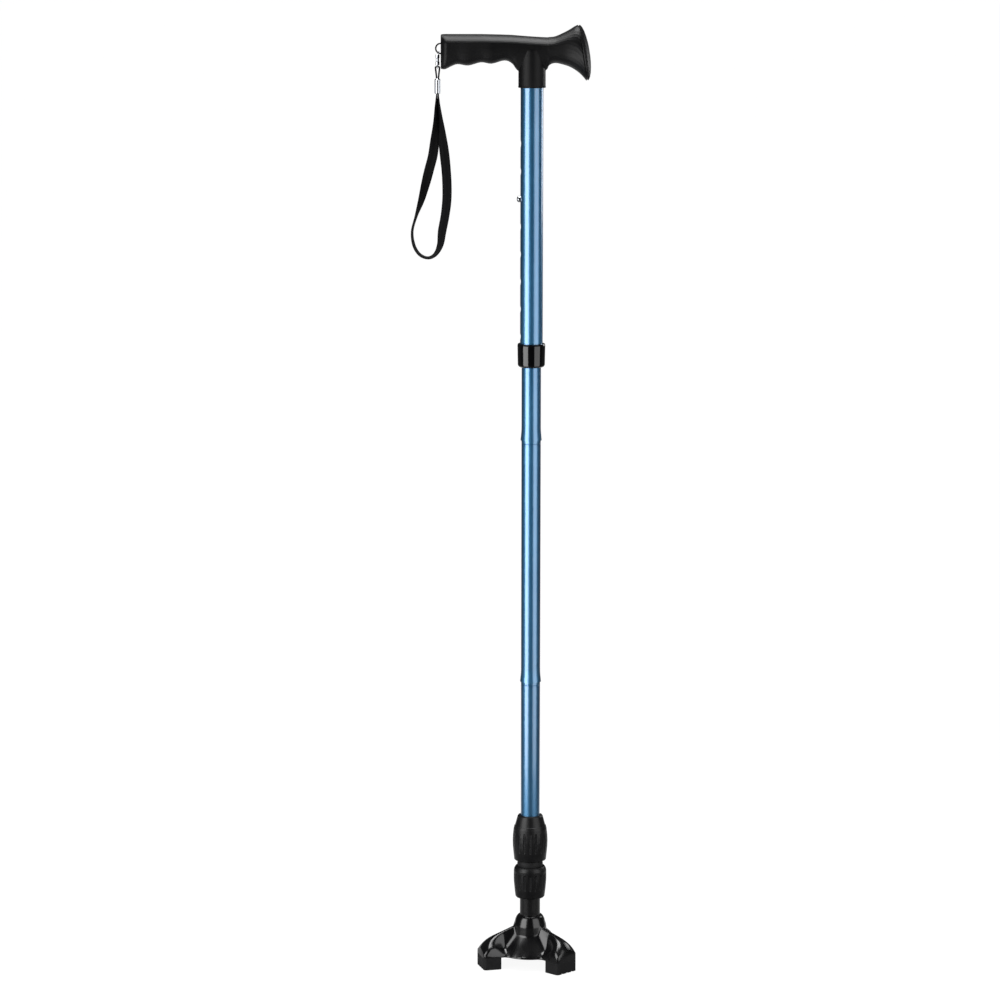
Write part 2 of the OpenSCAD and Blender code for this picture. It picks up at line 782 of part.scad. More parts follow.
// The side view as pairs of points, top and underside, each with half the width there,
// the squareness of the section above and below its widest line, and how far that line lies below the top
function handle_rows() =
    let (
        top = palm_h,
        lip = palm_h - nose_h,
        grooves = [for (i = [2 : -1 : 0]) [-(finger_first + i * finger_pitch), palm_h - bar_t - 1.8 * i]],
        lobes = [for (i = [1 : -1 : 0]) (grooves[1 - i] + grooves[2 - i]) / 2 - [1, finger_depth]],
        saddle = palm_h - 3,
        rim_top = palm_h + rim_rise,
        rim_low = palm_h - rim_drop,
        rim_half = norm([rim_lean, rim_rise + rim_drop]) / 2,
        w = bar_half_w,
        c = crease_drop
    )
    [
        [-nose_reach, top - 1, -nose_reach, lip + 1.6, w * 0.6, 2.4, 3, c],
        [-nose_reach + 0.8, top - 0.3, -nose_reach + 0.8, lip + 0.5, w * 0.68, 2.2, 3, c],
        [-nose_reach + 4.6, top, -nose_reach + 4.6, lip + 0.4, w * 0.95, 1.8, 2.9, c],
        [-nose_reach + 9.5, top, -nose_reach + 9.5, lip + 2.8, w * 0.97, 1.7, 2.8, c],
        [grooves[0][0], top, grooves[0][0], grooves[0][1], w * 0.97, 1.7, 2.7, c],
        [lobes[0][0], top, lobes[0][0], lobes[0][1], w, 1.7, 2.7, c],
        [grooves[1][0], top, grooves[1][0], grooves[1][1], w * 0.98, 1.7, 2.7, c],
        [lobes[1][0], top - 0.2, lobes[1][0], lobes[1][1], w, 1.7, 2.7, c],
        [grooves[2][0], top - 0.5, grooves[2][0], grooves[2][1], w * 0.98, 1.7, 2.6, c],
        [-stem_r - 6, top - 0.8, -stem_r - 6, palm_h - bar_t - 3, w * 0.97, 1.7, 2.2, c],
        [-stem_r, top - 1.3, -stem_r, stem_h, w * 0.94, 1.7, 1.8, c],
        [0, mix(top, saddle, 0.76), 0, stem_h - 5, w * 0.925, 1.7, 1.6, c],
        [stem_r, saddle, stem_r, stem_h + 0.6, w * 0.94, 1.7, 1.8, c],
        [stem_r + 3.4, saddle + 0.2, stem_r + 3.4, stem_h + 5.6, w * 0.96, 1.7, 2, c],
        [arch_x, top - 2, arch_x, palm_h - bar_t - 2.4, w, 1.8, 2.2, c + 0.6],
        [mix(arch_x, rim_reach, 0.4), top + rim_rise * 0.2, mix(arch_x, rim_foot, 0.31),
            palm_h - bar_t - 4.4, mix(w, rim_half_w, 0.25), 1.9, 2.2, c + 2.5],
        [mix(arch_x, rim_reach, 0.66), top + rim_rise * 0.54, mix(arch_x, rim_foot, 0.55),
            palm_h - bar_t - 7.4, mix(w, rim_half_w, 0.5), 2, 2.2, c + 6],
        [mix(arch_x, rim_reach, 0.86), top + rim_rise * 0.84, mix(arch_x, rim_foot, 0.8),
            palm_h - bar_t - 12.8, mix(w, rim_half_w, 0.78), 2.1, 2.2, c + 11.5],
        [rim_reach, rim_top, rim_foot, rim_low, rim_half_w, 2.1, 2.1, rim_half]
    ];

function sign_pow(v, e) = sign(v) * pow(abs(v), e);

// A ring of the handle: a squared oval between the top edge and the underside of a row, widest at its crease
function oval(row, shrink = 1, push = [0, 0]) =
    let (
        mid = ([row[0], row[1]] + [row[2], row[3]]) / 2,
        top = mid + ([row[0], row[1]] - mid) * shrink + push,
        low = mid + ([row[2], row[3]] - mid) * shrink + push,
        crease = top + (low - top) * row[7] * shrink / norm(low - top)
    )
    [
        for (i = [0 : ring_points - 1])
            let (
                a = 360 * i / ring_points,
                above = a <= 180,
                bend = 2 / (above ? row[5] : row[6]),
                across = row[4] * shrink * sign_pow(cos(a), bend),
                edge = above ? top : low,
                p = crease + (edge - crease) * pow(abs(sin(a)), bend)
            )
            [p[0], across, p[1]]
    ];

function handle_rings() =
    let (
        rows = curve(handle_rows(), ring_steps),
        rim = rows[len(rows) - 1],
        lean = [rim[0] - rim[2], rim[1] - rim[3]],
        out = [lean[1], -lean[0]] / norm(lean),
        groove_share = 0.965
    )
    concat(
        [for (r = rows) oval(r)],
        [oval(rim, groove_share, out * rim_groove * 0.35), oval(rim, groove_share, out * rim_groove)],
        [
            for (a = [8, 16, 28, 42, 56, 68, 79])
                oval(rim, cos(a), out * mix(rim_groove, dome_bulge, sin(a)))
        ]
    );

module handle() {
    stem_top = palm_h - crease_drop - 4;
    color(black) translate([0, 0, stem_z]) difference() {
        union() {
            loft(handle_rings());
            rotate_extrude() polygon([
                [0, 0], [stem_r - 0.2, 0], [stem_r + 0.2, 0.5], [stem_r + 0.2, 1.2], [stem_r, 1.6],
                [stem_r, stem_top - 3], [stem_r - 0.8, stem_top], [0, stem_top]
            ]);
        }
        translate([0, 0, -1]) cylinder(r = upper_r + glue_gap, h = handle_socket + 1);
        for (s = [-1, 1])
            translate([-nose_reach - 1, 0, palm_h - eye_drop + s * eye_r])
                rotate([0, 90, 0])
                    cylinder(r = eye_wire / 2 + glue_gap, h = eye_root + 1 + glue_gap, $fn = 24);
    }
}

// Wrist strap

// Staple in the nose of the handle
module strap_eye() {
    color(steel) translate([eye_x, 0, eye_z]) {
        rotate([90, 0, 0]) rotate([0, 0, 90]) wire_ring(eye_r, eye_wire / 2, 180);
        for (s = [-1, 1])
            translate([0, 0, s * eye_r])
                rotate([0, 90, 0]) cylinder(r = eye_wire / 2, h = eye_root, $fn = 24);
    }
}

// Link that hangs in the eye: a ring, a barrel and a ring for the cord
module strap_link() {
    waist = 0.4;
    r = link_d / 2;
    foot = link_top - link_len;
    color(steel) {
        translate([hook_x, 0, hook_z]) rotate([0, 180 - hook_turn, 0]) wire_ring(hook_r, link_wire / 2);
        translate([link_x, 0, foot]) rotate_extrude() polygon([
            [0, 0], [r - link_edge, 0], [r, link_edge], [r, link_len * 0.3], [r - waist, link_len * 0.36],
            [r - waist, link_len * 0.64], [r, link_len * 0.7], [r, link_len - link_edge],
            [r - link_edge, link_len], [0, link_len]
        ]);
        translate([link_x, 0, tail_z]) rotate([0, 90, 0]) wire_ring(tail_r, link_wire / 2);
    }
}

// Rings of a band that hangs along rows of [offset, drop, turn, share of its width], with level ends
function hung_rings(rows, section) =
    let (last = len(rows) - 1)
    [
        for (i = [0 : last])
            let (
                a = rows[max(i - 1, 0)],
                b = rows[min(i + 1, last)],
                step = [b[0] - a[0], a[1] - b[1]],
                way = i == 0 || i == last ? [0, sign(step[1])] : step / norm(step),
                out = [-way[1], 0, way[0]],
                wide = [0, cos(rows[i][2]), 0] + sin(rows[i][2]) * out,
                thick = [0, -sin(rows[i][2]), 0] + cos(rows[i][2]) * out
            )
            [for (p = section) [rows[i][0], 0, -rows[i][1]] + wide * p[0] * rows[i][3] + thick * p[1]]
    ];

// Thin cord that passes through the link's lower ring and runs down into the crimp
module strap_cord_loop() {
    bend = 1;
    sides = 12;
    reach = loop_half - loop_d / 2;
    foot_x = 0.8;
    arc = [for (a = [0, 30, 60, 90]) [reach - bend + bend * cos(a), bend - bend * sin(a), 0, 1]];
    right = concat([for (i = [3 : -1 : 0]) arc[i]], [[foot_x, loop_len, 0, 1]]);
    left = [for (i = [4 : -1 : 0]) [-right[i][0], right[i][1], 0, 1]];
    section = [for (i = [0 : sides - 1]) loop_d / 2 * [cos(360 * i / sides), sin(360 * i / sides)]];
    color(black) translate([link_x, 0, tail_z]) loft(hung_rings(concat(left, right), section));
}

module strap_crimp() {
    r = crimp_d / 2;
    color(steel) translate([link_x, 0, crimp_low]) rotate_extrude() polygon([
        [0, 0], [r - 0.6, 0], [r, 0.6], [r, crimp_len - 0.8], [r - 0.8, crimp_len], [0, crimp_len]
    ]);
}

// One band of webbing along its route, which turns edge-on and flat as it hangs
module wrist_strap() {
    edge = 0.25;
    corner = [web_w / 2, web_t / 2];
    quarter = [[corner[0], corner[1] - edge], [corner[0] - edge, corner[1]]];
    half = concat(quarter, [for (i = [1, 0]) [-quarter[i][0], quarter[i][1]]]);
    section = concat(half, [for (p = half) -p]);
    rows = [for (r = curve(web_route, web_steps)) [r[0], r[1], r[2], mix(0.55, 1, min(1, r[1] / 30))]];
    color(black) translate([link_x, 0, crimp_low]) loft(hung_rings(rows, section));
}

tripod_base();
foot_pad_right();
foot_pad_left();
foot_pad_rear();
neck_tube();
neck_plug();
hub_bolt();
ball_seat();
pivot_lower_sleeve();
socket_liner();
pivot_ball();
pivot_stud();
pivot_washer();
stud_nut();
stud_plug();
pivot_upper_sleeve();
lower_tube();
lower_tube_plug();
cord_anchor_lower();
shock_cord_lower();
shock_cord_low_bend();
middle_tube();
middle_tube_plug();
shock_cord_middle();
shock_cord_high_bend();
inner_tube();
cord_anchor_upper();
shock_cord_upper();
button_spring();
snap_button();
upper_tube();
collar();
handle();
strap_eye();
strap_link();
strap_cord_loop();
strap_crimp();
wrist_strap();
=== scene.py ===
"""Dresses the folding cane: finishes, moulded foot, soft strap and elastic cord, camera and studio."""
import json
import math

import bpy
import numpy as np
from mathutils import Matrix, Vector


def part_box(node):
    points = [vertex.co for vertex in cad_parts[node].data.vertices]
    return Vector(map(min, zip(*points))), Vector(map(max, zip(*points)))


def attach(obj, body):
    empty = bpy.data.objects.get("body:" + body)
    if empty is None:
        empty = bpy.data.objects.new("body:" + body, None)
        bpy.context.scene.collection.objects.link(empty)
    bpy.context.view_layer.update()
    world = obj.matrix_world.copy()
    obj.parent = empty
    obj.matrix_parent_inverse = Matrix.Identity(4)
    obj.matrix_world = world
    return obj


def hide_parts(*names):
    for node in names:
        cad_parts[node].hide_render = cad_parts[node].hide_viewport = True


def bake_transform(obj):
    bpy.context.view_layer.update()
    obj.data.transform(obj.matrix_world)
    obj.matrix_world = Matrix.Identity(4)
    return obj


MM = 0.001

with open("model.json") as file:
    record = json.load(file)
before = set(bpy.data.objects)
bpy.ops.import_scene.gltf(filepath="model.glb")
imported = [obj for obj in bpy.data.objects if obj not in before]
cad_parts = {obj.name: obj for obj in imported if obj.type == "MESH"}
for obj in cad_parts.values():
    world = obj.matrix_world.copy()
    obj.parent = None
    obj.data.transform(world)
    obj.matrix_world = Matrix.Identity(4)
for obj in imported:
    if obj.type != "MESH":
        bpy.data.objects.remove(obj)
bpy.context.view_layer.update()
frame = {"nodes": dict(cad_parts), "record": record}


def linear(code):
    """Linear colour of an sRGB hex code: each channel goes through the sRGB curve backwards."""
    channels = np.array([int(code[i:i + 2], 16) for i in (1, 3, 5)]) / 255
    low = channels / 12.92
    high = ((channels + 0.055) / 1.055) ** 2.4
    return (*np.where(channels <= 0.04045, low, high).tolist(), 1.0)


def add(tree, kind, inputs=None, **settings):
    """Adds a node with its settings; a socket given as an input is linked, and any other value is set."""
    node = tree.nodes.new(kind)
    for name, value in settings.items():
        setattr(node, name, value)
    for name, value in (inputs or {}).items():
        if isinstance(value, bpy.types.NodeSocket):
            tree.links.new(value, node.inputs[name])
        else:
            node.inputs[name].default_value = value
    return node


def blank_material(name):
    """A material with an empty node tree and its output node."""
    material = bpy.data.materials.new(name)
    material.use_nodes = True
    material.node_tree.nodes.clear()
    output = add(material.node_tree, "ShaderNodeOutputMaterial")
    return material, material.node_tree, output


# Finishes


def anodised_blue():
    """Drawn aluminium tube, dyed blue and anodised.

    Drawing leaves fine lines along the tube, so the lights smear along it, and the clear oxide adds a
    second, whiter gloss. The lines are 0.5 mm apart and 80 mm long; real ones are finer and wouldn't show.
    """
    line_apart = 0.5
    line_length = 80
    cloud_size = 35
    material, tree, output = blank_material("anodised_aluminium_blue")
    place = add(tree, "ShaderNodeTexCoord").outputs["Object"]
    stretch = (1, 1, line_apart / line_length)
    stretched = add(tree, "ShaderNodeMapping", {"Vector": place, "Scale": stretch}).outputs["Vector"]
    lines = add(tree, "ShaderNodeTexNoise", {
        "Vector": stretched, "Scale": 1 / (line_apart * MM), "Detail": 3.0,
    }).outputs["Fac"]
    cloud = add(tree, "ShaderNodeTexNoise", {
        "Vector": place, "Scale": 1 / (cloud_size * MM), "Detail": 2.0,
    }).outputs["Fac"]
    tint = add(tree, "ShaderNodeValToRGB", {"Fac": cloud})
    for stop, code, spot in zip(tint.color_ramp.elements, ("#376e97", "#3f779f"), (0.3, 0.7)):
        stop.color = linear(code)
        stop.position = spot
    rough = add(tree, "ShaderNodeMapRange", {
        "Value": lines, "From Min": 0.3, "From Max": 0.7, "To Min": 0.4, "To Max": 0.48,
    })
    bump = add(tree, "ShaderNodeBump", {"Height": lines, "Strength": 0.04, "Distance": 0.02 * MM})
    shader = add(tree, "ShaderNodeBsdfPrincipled", {
        "Base Color": tint.outputs["Color"],
        "Roughness": rough.outputs["Result"],
        "Normal": bump.outputs["Normal"],
        "Metallic": 1.0,
        "Coat Weight": 1.0,
        "Coat Roughness": 0.16,
        "Coat IOR": 1.77,
    })
    tree.links.new(shader.outputs["BSDF"], output.inputs["Surface"])
    return material


def moulded(name, dark, pale, grain_mm, grain_depth, rough_low, rough_high, rub_mm, ior=1.5):
    """Plastic or rubber from a mould: the tool's grain as bump, slow rubbed patches in colour and gloss."""
    rub_span = (0.35, 0.7)
    material, tree, output = blank_material(name)
    place = add(tree, "ShaderNodeTexCoord").outputs["Object"]
    grain = add(tree, "ShaderNodeTexNoise", {
        "Vector": place, "Scale": 1 / (grain_mm * MM), "Detail": 3.0,
    }).outputs["Fac"]
    rub = add(tree, "ShaderNodeTexNoise", {
        "Vector": place, "Scale": 1 / (rub_mm * MM), "Detail": 4.0,
    }).outputs["Fac"]
    tint = add(tree, "ShaderNodeValToRGB", {"Fac": rub})
    for stop, code, spot in zip(tint.color_ramp.elements, (dark, pale), rub_span):
        stop.color = linear(code)
        stop.position = spot
    rough = add(tree, "ShaderNodeMapRange", {
        "Value": rub,
        "From Min": rub_span[0],
        "From Max": rub_span[1],
        "To Min": rough_low,
        "To Max": rough_high,
    })
    bump = add(tree, "ShaderNodeBump", {"Height": grain, "Strength": 0.5, "Distance": grain_depth * MM})
    shader = add(tree, "ShaderNodeBsdfPrincipled", {
        "Base Color": tint.outputs["Color"],
        "Roughness": rough.outputs["Result"],
        "Normal": bump.outputs["Normal"],
        "IOR": ior,
    })
    tree.links.new(shader.outputs["BSDF"], output.inputs["Surface"])
    return material


def bright_metal(name, code, rough_low, rough_high, line_mm):
    """Metal with fine turning or polishing lines round the Z axis, which break up its gloss a little."""
    round_stretch = 0.05
    material, tree, output = blank_material(name)
    place = add(tree, "ShaderNodeTexCoord").outputs["Object"]
    flat = (round_stretch, round_stretch, 1)
    flattened = add(tree, "ShaderNodeMapping", {"Vector": place, "Scale": flat}).outputs["Vector"]
    lines = add(tree, "ShaderNodeTexNoise", {
        "Vector": flattened, "Scale": 1 / (line_mm * MM), "Detail": 2.0,
    }).outputs["Fac"]
    rough = add(tree, "ShaderNodeMapRange", {
        "Value": lines, "From Min": 0.3, "From Max": 0.7, "To Min": rough_low, "To Max": rough_high,
    })
    shader = add(tree, "ShaderNodeBsdfPrincipled", {
        "Base Color": linear(code), "Roughness": rough.outputs["Result"], "Metallic": 1.0,
    })
    tree.links.new(shader.outputs["BSDF"], output.inputs["Surface"])
    return material


# Radians that a wave texture turns through in one unit of its scaled coordinate
WAVE_RADIANS = 20


def woven(name, dark, pale, pick_mm, end_mm, depth_mm):
    """Woven or braided yarn, whose threads pass over and under each other, on a UV map in millimetres.

    Height is the product of two waves, one along the piece and one across it, so that the crossings stand up
    in a chequer, and the colour follows that height, with painted shade in the dips between crossings.
    """
    material, tree, output = blank_material(name)
    place = add(tree, "ShaderNodeUVMap", uv_map="yarn").outputs["UV"]
    along, across = [
        add(tree, "ShaderNodeTexWave", {
            "Vector": place, "Scale": 2 * math.pi / (WAVE_RADIANS * pitch), "Distortion": 0.6, "Detail": 1.0,
        }, bands_direction=direction).outputs["Fac"]
        for pitch, direction in ((pick_mm, "X"), (end_mm, "Y"))
    ]
    crossing = add(tree, "ShaderNodeMath", {0: along, 1: across}, operation="MULTIPLY").outputs["Value"]
    # The colour follows the height: the dips between crossings are darkened as painted shade and the tops
    # lightened
    tint = add(tree, "ShaderNodeValToRGB", {"Fac": crossing})
    for stop, code in zip(tint.color_ramp.elements, (dark, pale)):
        stop.color = linear(code)
    bump = add(tree, "ShaderNodeBump", {"Height": crossing, "Strength": 0.8, "Distance": depth_mm * MM})
    shader = add(tree, "ShaderNodeBsdfPrincipled", {
        "Base Color": tint.outputs["Color"],
        "Normal": bump.outputs["Normal"],
        "Roughness": 0.85,
        "IOR": 1.2,
        "Sheen Weight": 0.03,
        "Sheen Roughness": 0.4,
    })
    tree.links.new(shader.outputs["BSDF"], output.inputs["Surface"])
    return material


finishes = {
    "blue_anodised_aluminium": anodised_blue(),
    # Soft grip with a fine grain, which spreads the lights above into one dull band
    "handle_plastic": moulded(
        "thermoplastic_rubber_black", "#060607", "#0a0a0b", grain_mm=0.6, grain_depth=0.05,
        rough_low=0.42, rough_high=0.5, rub_mm=30, ior=1.28,
    ),
    # Hard plastic from a polished mould, which mirrors the softboxes with clear edges
    "gloss_black_plastic": moulded(
        "abs_gloss_black", "#050506", "#080809", grain_mm=5, grain_depth=0.004,
        rough_low=0.1, rough_high=0.15, rub_mm=18,
    ),
    # The same plastic on the foot, a little scuffed, so its mirrored softboxes have soft edges
    "polished_foot": moulded(
        "abs_polished_black", "#040405", "#070708", grain_mm=5, grain_depth=0.004,
        rough_low=0.17, rough_high=0.24, rub_mm=18,
    ),
    # Matte nylon with a dull sheen along its flutes
    "sleeve_plastic": moulded(
        "nylon_matte_charcoal", "#0a0a0b", "#111112", grain_mm=0.5, grain_depth=0.05,
        rough_low=0.34, rough_high=0.42, rub_mm=9, ior=1.33,
    ),
    # Baked powder coat, whose slight ripple blurs the lights along the neck
    "black_coated_tube": moulded(
        "powder_coat_black", "#060607", "#0a0a0b", grain_mm=0.8, grain_depth=0.02,
        rough_low=0.24, rough_high=0.32, rub_mm=12,
    ),
    # Dull rubber, which gives back a faint, even grey
    "pad_rubber": moulded(
        "moulded_rubber_dark", "#111112", "#181819", grain_mm=0.5, grain_depth=0.06,
        rough_low=0.55, rough_high=0.72, rub_mm=7, ior=1.33,
    ),
    # Turned steel, grey and softly bright
    "plain_steel": bright_metal("turned_steel", "#b4b6b9", rough_low=0.25, rough_high=0.4, line_mm=0.15),
    # Plated wire and crimp, which mirror white and black in hard patches
    "bright_chrome": bright_metal("chrome_plate", "#aeb1b6", rough_low=0.06, rough_high=0.14, line_mm=0.1),
    # Braided cover of the elastic cord, black, with painted shade between its faint lobes
    "elastic_cord": woven(
        "braided_polyester_cord", "#070708", "#161617", pick_mm=0.9, end_mm=0.7, depth_mm=0.15,
    ),
    # Flat woven strap, black, with a faint chequer of painted shade between its crossing yarns
    "black_webbing": woven(
        "woven_polyester_webbing", "#060607", "#151516", pick_mm=0.9, end_mm=0.8, depth_mm=0.12,
    ),
}


# Pieces without the finish of their slot: a collar from a polished mould, a dull ball, a coated eye
OWN_FINISH = {"collar": "gloss_black_plastic", "pivot_ball": "pad_rubber", "strap_eye": "black_coated_tube"}


def dress_nodes():
    """Gives each solid its own finish, or the finish of its slot in the record."""
    for part in frame["record"]["subparts"]:
        slots = frame["nodes"][part["node"]].data.materials
        slots.clear()
        slots.append(finishes[OWN_FINISH.get(part["node"], part["material_slot"])])


# Meshes


def ring_quads(rings, sides, closed):
    """Faces between each ring of points and the next, and from the last to the first where they close."""
    i, j = np.meshgrid(np.arange(rings if closed else rings - 1), np.arange(sides), indexing="ij")
    above = (i + 1) % rings
    beside = (j + 1) % sides
    quads = np.stack([i * sides + j, i * sides + beside, above * sides + beside, above * sides + j], axis=-1)
    return quads.reshape(-1, 4).tolist()


def smooth_mesh(name, points, faces, finish):
    """A smooth-shaded mesh of the points and faces, in one finish."""
    mesh = bpy.data.meshes.new(name)
    mesh.from_pydata(points.reshape(-1, 3).tolist(), [], faces)
    mesh.polygons.foreach_set("use_smooth", np.ones(len(mesh.polygons), bool))
    mesh.materials.append(finishes[finish])
    return mesh


def in_scene(name, data):
    """An object of that name and data in the scene, at the origin."""
    piece = bpy.data.objects.new(name, data)
    bpy.context.scene.collection.objects.link(piece)
    return piece


# Tripod foot


# Sizes of the moulded foot in millimetres, and the directions of its legs in degrees from +X
PAD_TOP = 12.0
HUB_TOP = 51.0
FLANK_RADIUS = 17.0
RIDGE_ROOT = 40.0
HOLLOW_ROOT = 31.0
LEG_REACH = 51.5
LEG_HALF = 14.0
LEG_CORNER = 3.0
LEG_ROUND = 19.0
LEG_TURNS = (-44, 76, 196)
LEG_ENDS = (30.5, 25.5, 27.0)
SKIRT_RADIUS = 31.0
SKIRT_EDGE = 15.2
SOCKET_GAP = 0.05
# Degrees from the middle of a leg to the middle of a hollow, and to where the leg leaves the skirt
HOLLOW_ANGLE = 60
ROOT_ANGLE = 32
# Shares of a leg's straight side between which its points lie
SIDE_SPAN = (0.12, 0.96)
# Powers by which the ridge and the hollow fall outwards, and by which the skin rounds down at its edge
RIDGE_FALL = 1.15
HOLLOW_FALL = 1.25
EDGE_ROUND = 6
# Rings over the legs, the power by which they crowd at the edge, rings on the flank, angle of a sharp edge
SKIN_RINGS = 44
RING_CROWD = 1.4
FLANK_RINGS = 7
SHARP_ANGLE = 50
# Power by which a leg narrows towards the hub, the same beside the front hollow, where the folded tubes
# pass, and its least spread
LEG_SWELL = 0.8
SLIM_SWELL = 2.6
SLIM_LEAST = 4.0
# How far the skin rounds down at its edge: middle of a hollow, root of a leg, its side, its corner, its end
EDGE_DROPS = {"hollow": 1.2, "root": 6.0, "side": 8.0, "corner": 9.0, "end": 7.0}
# Least height of the skin's edge over the pads
EDGE_LIP = 1.2
# Inside of the foot as radius and height, from the bolt's hole, under the boss, to the skirt's inner edge
FOOT_INSIDE = [
    [3.05, 24], [3.05, 19.8], [5.25, 19.8], [5.25, 18], [13.8, 18], [13.8, 24.8],
    [17.35, 22.9], [22.6, 17.8], [28, 12.8], [28, PAD_TOP],
]
# Shoulder of the hub as radius and depth below its top
HUB_SHOULDER = [[16.1, 9.3], [15.3, 7.2], [14.5, 4], [13.6, 2.2], [12.7, 0.8], [11.7, 0]]


def edge_drop(first, last, share):
    """Drop of the skin's edge on the way from one named place to the next."""
    return EDGE_DROPS[first] + (EDGE_DROPS[last] - EDGE_DROPS[first]) * share


def leg_outline():
    """A leg's outline from one hollow's middle to the next: along the leg, across it, drop of the edge.

    It follows the skirt's circle, runs straight beside the leg, turns a quarter circle at the corner and
    crosses the leg's end; the other half is its mirror image.
    """
    angle = np.linspace(HOLLOW_ANGLE, ROOT_ANGLE, 20)
    near = (HOLLOW_ANGLE - angle) / (HOLLOW_ANGLE - ROOT_ANGLE)
    skirt = np.stack([
        SKIRT_RADIUS * np.cos(np.radians(angle)), SKIRT_RADIUS * np.sin(np.radians(angle)),
        edge_drop("hollow", "root", near**2),
    ], axis=1)
    root = math.sqrt(SKIRT_RADIUS**2 - LEG_HALF**2)
    bend = LEG_REACH - LEG_CORNER
    t = np.linspace(*SIDE_SPAN, 24)
    side = np.stack([root + (bend - root) * t, 0 * t + LEG_HALF, edge_drop("side", "corner", t)], axis=1)
    turn = np.radians(np.linspace(0, 90, 9))
    corner = np.stack([
        bend + LEG_CORNER * np.sin(turn),
        LEG_HALF - LEG_CORNER * (1 - np.cos(turn)),
        0 * turn + EDGE_DROPS["corner"],
    ], axis=1)
    v = np.linspace(1, 0, 14)[1:]
    end = np.stack([0 * v + LEG_REACH, v * (LEG_HALF - LEG_CORNER), edge_drop("end", "corner", v)], axis=1)
    half = np.concatenate([skirt, side, corner, end])
    return np.concatenate([half * [1, -1, 1], half[-2:0:-1]])


def foot_skin(radius, across, leg_end, swell):
    """Height of the skin: a ridge along each leg, which falls to the hollow beside it.

    The ridge's share is 1 / (1 + (across / spread) cubed), and spread grows with a power of the radius.
    """
    out = np.clip(1 - (radius - FLANK_RADIUS) / (LEG_REACH - FLANK_RADIUS), 0, 1)
    ridge = leg_end + (RIDGE_ROOT - leg_end) * out**RIDGE_FALL
    out = np.clip(1 - (radius - FLANK_RADIUS) / (SKIRT_RADIUS - FLANK_RADIUS), 0, 1)
    hollow = SKIRT_EDGE + (HOLLOW_ROOT - SKIRT_EDGE) * out**HOLLOW_FALL
    spread = np.maximum(LEG_ROUND * (radius / LEG_REACH) ** swell, SLIM_LEAST)
    return hollow + (ridge - hollow) / (1 + (np.abs(across) / spread) ** 3)


def tripod_shell():
    """The gloss foot, as rings of points that close on themselves.

    They go from the bolt's hole out under the skirt, over the legs, up the hub and down its socket. Over the
    legs a ring's radius is a share of the way from the flank to the outline, with more rings near the edge.
    """
    leg = leg_outline()
    turns = np.radians(LEG_TURNS)[:, None]
    plan = np.stack([
        (leg[:, 0] * np.cos(turns) - leg[:, 1] * np.sin(turns)).ravel(),
        (leg[:, 0] * np.sin(turns) + leg[:, 1] * np.cos(turns)).ravel(),
    ], axis=1)
    across = np.tile(leg[:, 1], len(LEG_TURNS))
    drop = np.tile(leg[:, 2], len(LEG_TURNS))
    far = np.linalg.norm(plan, axis=1)
    way = plan / far[:, None]
    share = (1 - np.linspace(0, 1, SKIN_RINGS) ** RING_CROWD)[:, None]
    radius = FLANK_RADIUS + (far - FLANK_RADIUS) * share
    leg_end = np.repeat(LEG_ENDS, len(leg))
    # The front hollow lies between the first leg's one side and the last leg's other side
    slim = np.concatenate([leg[:, 1] < 0, np.zeros(len(leg), bool), leg[:, 1] > 0])
    swell = np.where(slim, SLIM_SWELL, LEG_SWELL)
    drop = np.minimum(drop, foot_skin(far, across, leg_end, swell) - PAD_TOP - EDGE_LIP)
    height = foot_skin(radius, across * radius / far, leg_end, swell) - drop * share**EDGE_ROUND
    shoulder = np.array(HUB_SHOULDER)
    rise = np.linspace(0, 1, FLANK_RINGS)[1:-1, None]
    low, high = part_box("neck_tube")
    socket = (high[0] - low[0]) / 2 / MM + SOCKET_GAP
    inside = np.array(FOOT_INSIDE)
    flat = np.ones_like(far)
    rings = np.concatenate([
        inside[:, :1] * flat,
        [far],
        radius,
        radius[-1] + (shoulder[0, 0] - radius[-1]) * rise,
        shoulder[:, :1] * flat,
        [socket * flat, socket * flat],
    ])
    levels = np.concatenate([
        inside[:, 1:] * flat,
        [PAD_TOP * flat],
        height,
        height[-1] + (HUB_TOP - shoulder[0, 1] - height[-1]) * rise,
        (HUB_TOP - shoulder[:, 1:]) * flat,
        [HUB_TOP * flat, inside[0, 1] * flat],
    ])
    points = np.concatenate([rings[..., None] * way, levels[..., None]], axis=-1) * MM
    mesh = smooth_mesh("tripod_shell", points, ring_quads(*rings.shape, closed=True), "polished_foot")
    mesh.set_sharp_from_angle(angle=math.radians(SHARP_ANGLE))
    piece = in_scene("tripod_shell", mesh)
    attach(piece, "base")
    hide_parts("tripod_base")


# Soft pieces


def even_rows(path, count):
    """Rows read at even steps along a path, and the length at each, in the plane of its first two values."""
    length = np.concatenate([[0], np.cumsum(np.linalg.norm(np.diff(path[:, :2], axis=0), axis=1))])
    along = np.linspace(0, length[-1], count)
    return np.stack([np.interp(along, length, column) for column in path.T], axis=1), along


# Steps between two rows of a route before it is read evenly
ROUTE_STEPS = 40


def smooth_rows(rows, count):
    """Rows read at even steps of length along a Catmull-Rom curve through them.

    Between rows b and c, with a before and d after, the point at t is half of
    2b + (c - a) t + (2a - 5b + 4c - d) t squared + (3b - a - 3c + d) t cubed.
    """
    rows = np.asarray(rows, float)
    fine = np.linspace(0, len(rows) - 1, ROUTE_STEPS * (len(rows) - 1) + 1)
    start = np.minimum(fine.astype(int), len(rows) - 2)
    t = (fine - start)[:, None]
    a = rows[np.maximum(start - 1, 0)]
    b = rows[start]
    c = rows[start + 1]
    d = rows[np.minimum(start + 2, len(rows) - 1)]
    curve = 0.5 * (
        2 * b + (c - a) * t + (2 * a - 5 * b + 4 * c - d) * t**2 + (3 * b - a - 3 * c + d) * t**3
    )
    return even_rows(curve, count)


